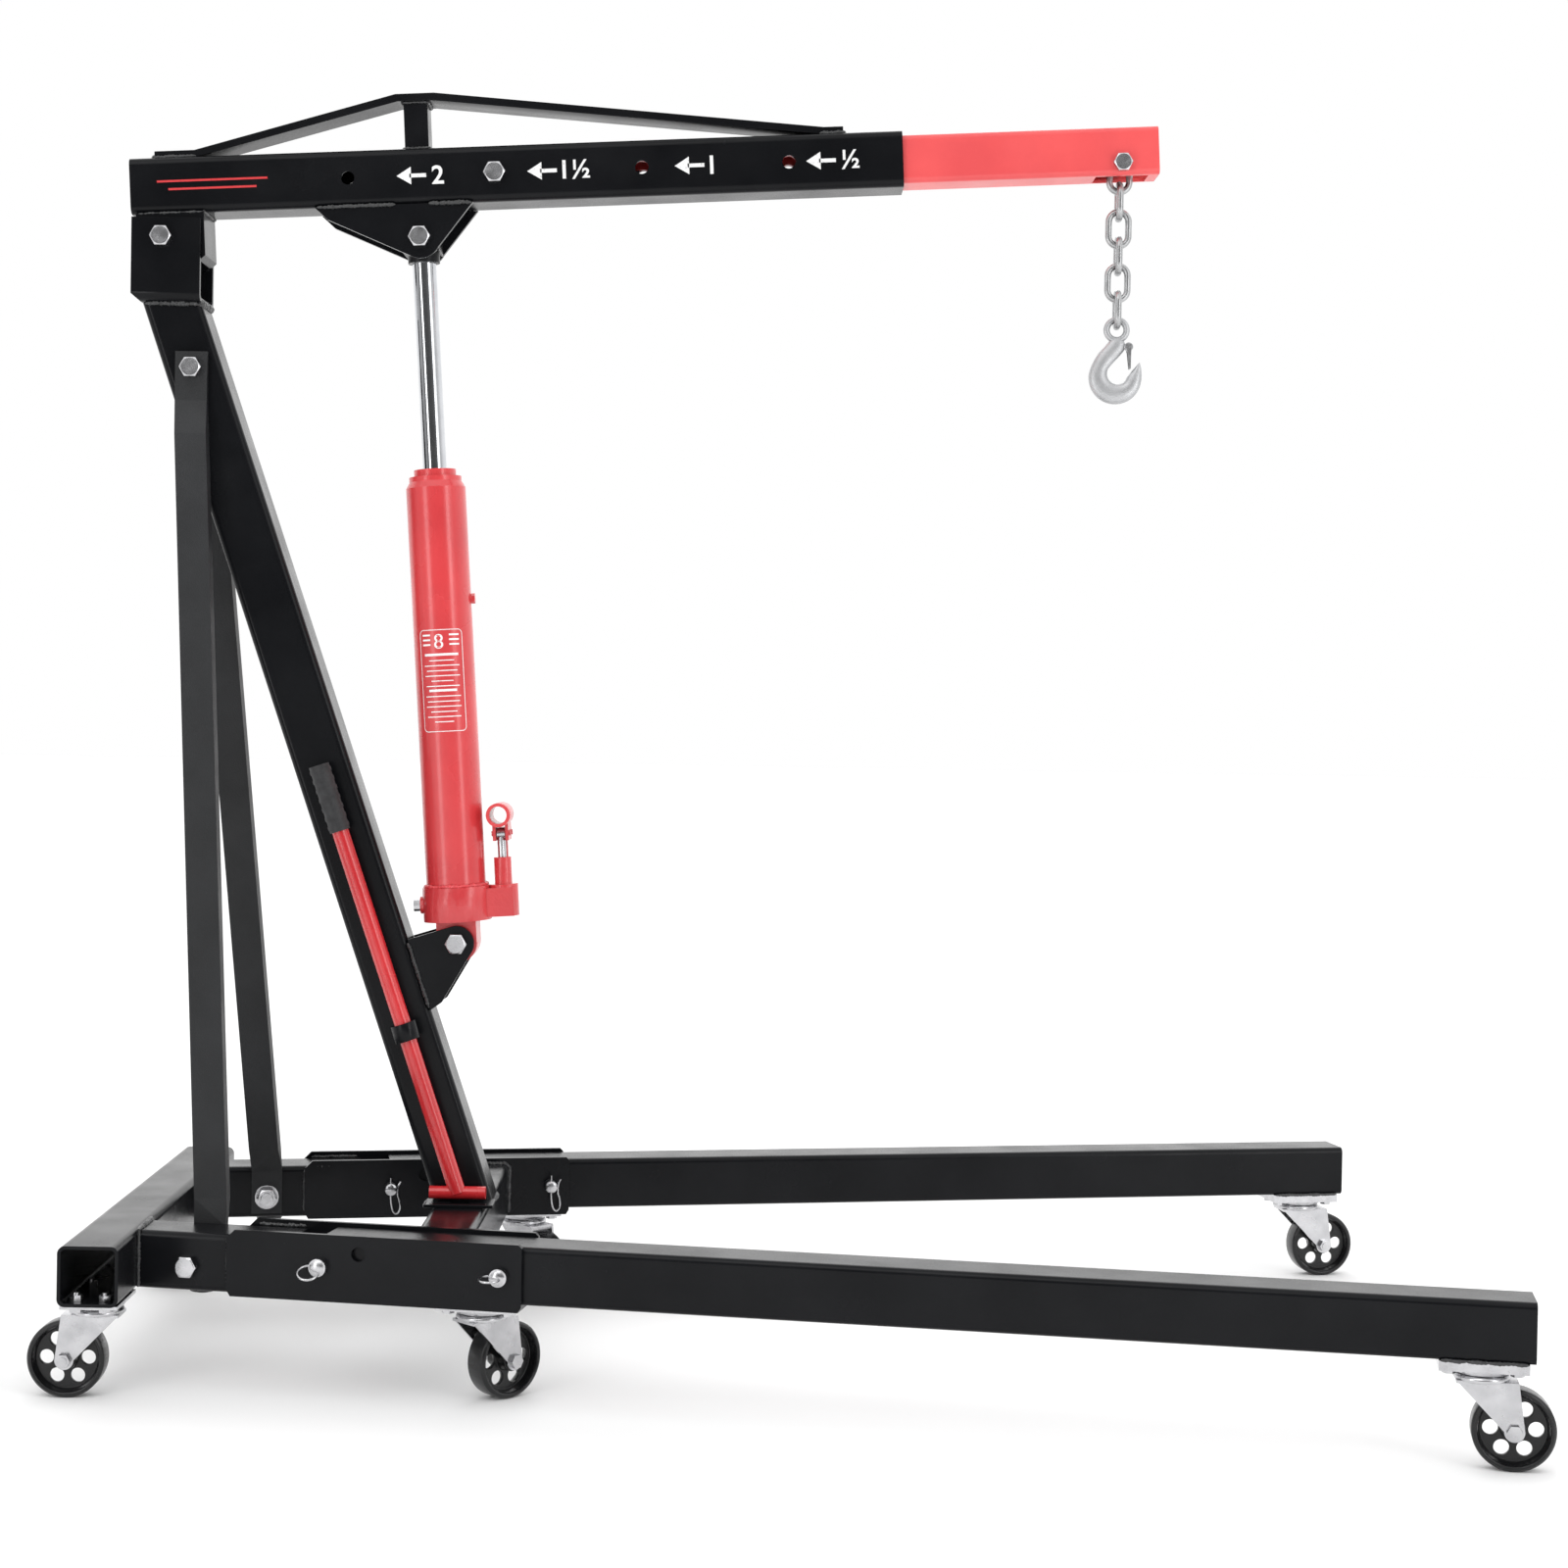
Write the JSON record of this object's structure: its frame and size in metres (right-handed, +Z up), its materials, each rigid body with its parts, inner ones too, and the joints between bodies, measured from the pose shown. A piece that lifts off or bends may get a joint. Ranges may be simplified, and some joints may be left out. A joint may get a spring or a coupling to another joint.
{
  "type": "folding engine hoist crane",
  "caption": "Folding floor crane with a leaning mast, ram-lifted boom, sliding extension, chain and hook, on swivel casters with fold-up legs.",
  "frame": {"origin": "floor level, at the middle of the bounding box in X and Y", "axes": "+X forward to the leg tips and boom nose, +Y to the left, +Z up"},
  "size_m": [1.7084, 1.0718, 1.5718],
  "materials": {
    "frame_black": "textured gloss black powder coat",
    "ram_red": "gloss red enamel",
    "zinc": "bright zinc plate",
    "galvanised": "dull zinc coated steel",
    "chrome_rod": "hard chrome",
    "extension_red": "bright red powder coat",
    "handle_red": "red powder coat",
    "grip_rubber": "ribbed black rubber",
    "wheel_black": "satin black steel"
  },
  "bodies": {
    "frame": {"rear_cross_tube": "frame_black", "right_rail": "frame_black", "left_rail": "frame_black", "right_leg_bracket": "frame_black", "left_leg_bracket": "frame_black", "front_cross_tube": "frame_black", "mast": "frame_black", "mast_head": "frame_black", "ram_foot_bracket": "frame_black", "right_brace": "frame_black", "left_brace": "frame_black", "handle_clip": "frame_black", "handle_rest": "frame_black", "frame_bolts": "zinc", "leg_pins": "zinc", "pin_clips": "zinc", "frame_caster_plates": "zinc"},
    "boom": {"boom_tube": "frame_black", "boom_lug": "frame_black", "truss_strap": "frame_black", "truss_post": "frame_black", "ram_head_bracket": "frame_black", "boom_bolts": "zinc"},
    "extension": {"extension_tube": "extension_red", "chain_bolt": "zinc"},
    "ram_barrel": {"ram_cylinder": "ram_red", "ram_base": "ram_red", "ram_gland": "ram_red", "filler_plug": "zinc"},
    "ram_piston": {"ram_rod": "chrome_rod", "rod_eye": "frame_black"},
    "plunger": {"pump_plunger": "zinc"},
    "pump_lever": {"pump_socket": "ram_red"},
    "valve": {"release_valve": "zinc"},
    "handle": {"handle_tube": "handle_red", "handle_grip": "grip_rubber"},
    "leg_right": {"right_leg": "frame_black", "right_leg_plate": "zinc"},
    "leg_left": {"left_leg": "frame_black", "left_leg_plate": "zinc"},
    "chain_1": {"link_1": "galvanised"},
    "chain_2": {"link_2": "galvanised"},
    "chain_3": {"link_3": "galvanised"},
    "chain_4": {"link_4": "galvanised"},
    "chain_5": {"link_5": "galvanised"},
    "chain_6": {"link_6": "galvanised"},
    "chain_hook": {"hook": "galvanised"},
    "latch": {"hook_latch": "galvanised"},
    "rear_right_swivel": {"rear_right_fork": "zinc"},
    "rear_right_roll": {"rear_right_wheel": "wheel_black"},
    "rear_left_swivel": {"rear_left_fork": "zinc"},
    "rear_left_roll": {"rear_left_wheel": "wheel_black"},
    "mid_right_swivel": {"mid_right_fork": "zinc"},
    "mid_right_roll": {"mid_right_wheel": "wheel_black"},
    "mid_left_swivel": {"mid_left_fork": "zinc"},
    "mid_left_roll": {"mid_left_wheel": "wheel_black"},
    "front_right_swivel": {"front_right_fork": "zinc"},
    "front_right_roll": {"front_right_wheel": "wheel_black"},
    "front_left_swivel": {"front_left_fork": "zinc"},
    "front_left_roll": {"front_left_wheel": "wheel_black"}
  },
  "joints": [
    {"name": "boom_lift", "type": "hinge", "parent": "frame", "child": "boom", "pos_m": [-0.77231, 0, 1.38413], "axis": [0, -1, 0], "range_deg": [-20, 20]},
    {"name": "ram_swing", "type": "hinge", "parent": "frame", "child": "ram_barrel", "pos_m": [-0.39369, 0, 0.508], "axis": [0, -1, 0], "range_deg": [-1, 1]},
    {"name": "rod_slide", "type": "slide", "parent": "ram_barrel", "child": "ram_piston", "axis": [-0.0662, 0, 0.9978], "range_m": [-0.115, 0.115]},
    {"name": "extension_slide", "type": "slide", "parent": "boom", "child": "extension", "axis": [0.9986, 0, 0.0523], "range_m": [-0.1835, 0.367]},
    {"name": "chain_1_swing", "type": "hinge", "parent": "extension", "child": "chain_1", "pos_m": [0.4234, 0, 1.49737], "axis": [0, 1, 0], "range_deg": [-18, 18]},
    {"name": "chain_2_swing", "type": "hinge", "parent": "chain_1", "child": "chain_2", "pos_m": [0.4234, 0, 1.46616], "axis": [1, 0, 0], "range_deg": [-30, 30]},
    {"name": "chain_3_swing", "type": "hinge", "parent": "chain_2", "child": "chain_3", "pos_m": [0.4234, 0, 1.43226], "axis": [0, 1, 0], "range_deg": [-30, 30]},
    {"name": "chain_4_swing", "type": "hinge", "parent": "chain_3", "child": "chain_4", "pos_m": [0.4234, 0, 1.39837], "axis": [1, 0, 0], "range_deg": [-30, 30]},
    {"name": "chain_5_swing", "type": "hinge", "parent": "chain_4", "child": "chain_5", "pos_m": [0.4234, 0, 1.36447], "axis": [0, 1, 0], "range_deg": [-30, 30]},
    {"name": "chain_6_swing", "type": "hinge", "parent": "chain_5", "child": "chain_6", "pos_m": [0.4234, 0, 1.33056], "axis": [1, 0, 0], "range_deg": [-30, 30]},
    {"name": "hook_swing", "type": "hinge", "parent": "chain_6", "child": "chain_hook", "pos_m": [0.4234, 0, 1.29666], "axis": [0, 1, 0], "range_deg": [-35, 35]},
    {"name": "latch_open", "type": "hinge", "parent": "chain_hook", "child": "latch", "pos_m": [0.4389, 0, 1.27177], "axis": [0, 1, 0], "range_deg": [0, 30], "stiffness_Nm_per_rad": 0.02, "springref_deg": -28.65},
    {"name": "pump_stroke", "type": "hinge", "parent": "ram_barrel", "child": "pump_lever", "pos_m": [-0.34269, 0.029, 0.64568], "axis": [0.9978, 0, 0.0662], "range_deg": [-9, 9]},
    {"name": "plunger_slide", "type": "slide", "parent": "ram_barrel", "child": "plunger", "axis": [-0.0662, 0, 0.9978], "range_m": [-0.006, 0.006]},
    {"name": "valve_turn", "type": "hinge", "parent": "ram_barrel", "child": "valve", "pos_m": [-0.43678, 0, 0.55325], "axis": [-0.9978, 0, -0.0662], "range_deg": [0, 270]},
    {"name": "handle_lift", "type": "slide", "parent": "frame", "child": "handle", "axis": [-0.3223, 0, 0.9466], "range_m": [0, 0.15]},
    {"name": "leg_right_fold", "type": "hinge", "parent": "frame", "child": "leg_right", "pos_m": [-0.51177, -0.25476, 0.1545], "axis": [-0.1822, -0.9833, 0], "range_deg": [0, 90]},
    {"name": "leg_left_fold", "type": "hinge", "parent": "frame", "child": "leg_left", "pos_m": [-0.51177, 0.25476, 0.1545], "axis": [0.1822, -0.9833, 0], "range_deg": [0, 90]},
    {"name": "rear_right_swivel_turn", "type": "hinge", "parent": "frame", "child": "rear_right_swivel", "pos_m": [-0.77519, -0.292, 0.114], "axis": [0, 0, 1], "continuous": true},
    {"name": "rear_right_roll_turn", "type": "hinge", "parent": "rear_right_swivel", "child": "rear_right_roll", "pos_m": [-0.80919, -0.292, 0.045], "axis": [0, 1, 0], "continuous": true},
    {"name": "rear_left_swivel_turn", "type": "hinge", "parent": "frame", "child": "rear_left_swivel", "pos_m": [-0.77519, 0.292, 0.114], "axis": [0, 0, 1], "continuous": true},
    {"name": "rear_left_roll_turn", "type": "hinge", "parent": "rear_left_swivel", "child": "rear_left_roll", "pos_m": [-0.80919, 0.292, 0.045], "axis": [0, 1, 0], "continuous": true},
    {"name": "mid_right_swivel_turn", "type": "hinge", "parent": "frame", "child": "mid_right_swivel", "pos_m": [-0.32987, -0.28847, 0.114], "axis": [0, 0, 1], "continuous": true},
    {"name": "mid_right_roll_turn", "type": "hinge", "parent": "mid_right_swivel", "child": "mid_right_roll", "pos_m": [-0.30562, -0.26464, 0.045], "axis": [-0.7009, 0.7133, 0], "continuous": true},
    {"name": "mid_left_swivel_turn", "type": "hinge", "parent": "frame", "child": "mid_left_swivel", "pos_m": [-0.32987, 0.28847, 0.114], "axis": [0, 0, 1], "continuous": true},
    {"name": "mid_left_roll_turn", "type": "hinge", "parent": "mid_left_swivel", "child": "mid_left_roll", "pos_m": [-0.30562, 0.26464, 0.045], "axis": [0.7009, 0.7133, 0], "continuous": true},
    {"name": "front_right_swivel_turn", "type": "hinge", "parent": "leg_right", "child": "front_right_swivel", "pos_m": [0.77432, -0.49312, 0.114], "axis": [0, 0, 1], "continuous": true},
    {"name": "front_right_roll_turn", "type": "hinge", "parent": "front_right_swivel", "child": "front_right_roll", "pos_m": [0.80775, -0.49932, 0.045], "axis": [0.1822, 0.9833, 0], "continuous": true},
    {"name": "front_left_swivel_turn", "type": "hinge", "parent": "leg_left", "child": "front_left_swivel", "pos_m": [0.77432, 0.49312, 0.114], "axis": [0, 0, 1], "continuous": true},
    {"name": "front_left_roll_turn", "type": "hinge", "parent": "front_left_swivel", "child": "front_left_roll", "pos_m": [0.80775, 0.49932, 0.045], "axis": [-0.1822, 0.9833, 0], "continuous": true}
  ],
  "couplings": [
    {"joint": "ram_swing", "follows": "boom_lift", "ratio": -0.017464},
    {"joint": "rod_slide", "follows": "boom_lift", "m_per_rad": 0.31325},
    {"joint": "plunger_slide", "follows": "pump_stroke", "m_per_rad": -0.029}
  ]
}
